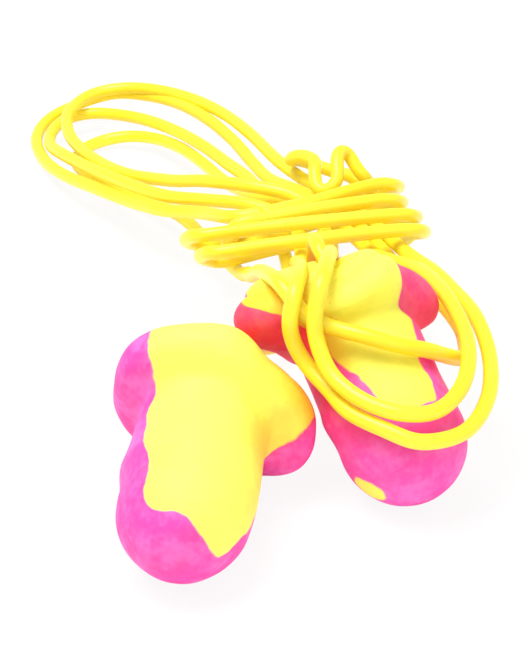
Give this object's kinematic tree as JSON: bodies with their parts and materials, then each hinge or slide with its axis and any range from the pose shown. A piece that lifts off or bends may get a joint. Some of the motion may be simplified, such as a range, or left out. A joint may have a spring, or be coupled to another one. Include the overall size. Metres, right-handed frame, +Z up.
{
  "type": "corded ear plugs",
  "caption": "Pair of flanged foam ear plugs joined by a soft cord gathered into loops with a wrapped middle, for reducing noise at the ear",
  "frame": {"origin": "middle of the pair's footprint on the table, at table height", "axes": "+Z up from the table, +Y from the plugs towards the far loops, +X to the right seen from the plugs' side"},
  "size_m": [0.0533, 0.1088, 0.0238],
  "materials": {
    "yellow_foam": "soft closed-skin polyurethane foam, matt with fine pores",
    "magenta_foam": "soft closed-skin polyurethane foam, matt with fine pores",
    "cord": "smooth soft PVC, glossy",
    "glue": "set adhesive"
  },
  "bodies": {
    "coil_core": {"core_strand_1": "cord", "core_strand_2": "cord", "core_strand_3": "cord", "core_strand_4": "cord", "core_strand_5": "cord", "core_strand_6": "cord", "core_strand_7": "cord", "wrap_turns": "cord", "wrap_tail": "cord", "front_lead_bend": "cord", "front_lead": "cord", "rear_lead": "cord"},
    "front_plug": {"front_plug_yellow_foam": "yellow_foam", "front_plug_magenta_foam": "magenta_foam", "front_cord_end": "cord", "front_socket_glue": "glue"},
    "rear_plug": {"rear_plug_yellow_foam": "yellow_foam", "rear_plug_magenta_foam": "magenta_foam", "rear_cord_end": "cord", "rear_socket_glue": "glue"},
    "far_loops": {"far_loop_outer": "cord", "far_loop_second": "cord", "far_loop_top": "cord", "far_loop_low": "cord"},
    "near_loops": {"near_loop_outer": "cord", "near_loop_inner": "cord", "near_loop_cross": "cord"}
  },
  "joints": [
    {"name": "front_plug_swing", "type": "hinge", "parent": "coil_core", "child": "front_plug", "pos_m": [0.00079, -0.02706, 0.0104], "axis": [0, 0, 1], "range_deg": [-35, 0], "stiffness_Nm_per_rad": 0.0002, "deforming": ["front_lead_bend"]},
    {"name": "rear_plug_roll", "type": "hinge", "parent": "coil_core", "child": "rear_plug", "pos_m": [0.01735, -0.03603, 0.00615], "axis": [-0.3544, 0.7601, 0.5446], "range_deg": [-90, 90], "stiffness_Nm_per_rad": 0.0001},
    {"name": "far_loops_lift", "type": "hinge", "parent": "coil_core", "child": "far_loops", "pos_m": [0.00025, 0.01327, 0.011], "axis": [0.9207, 0.3903, 0], "range_deg": [0, 40], "stiffness_Nm_per_rad": 0.0002},
    {"name": "near_loops_lift", "type": "hinge", "parent": "coil_core", "child": "near_loops", "pos_m": [0.01325, -0.00573, 0.013], "axis": [-1, 0, 0], "range_deg": [0, 60], "stiffness_Nm_per_rad": 0.0002}
  ]
}
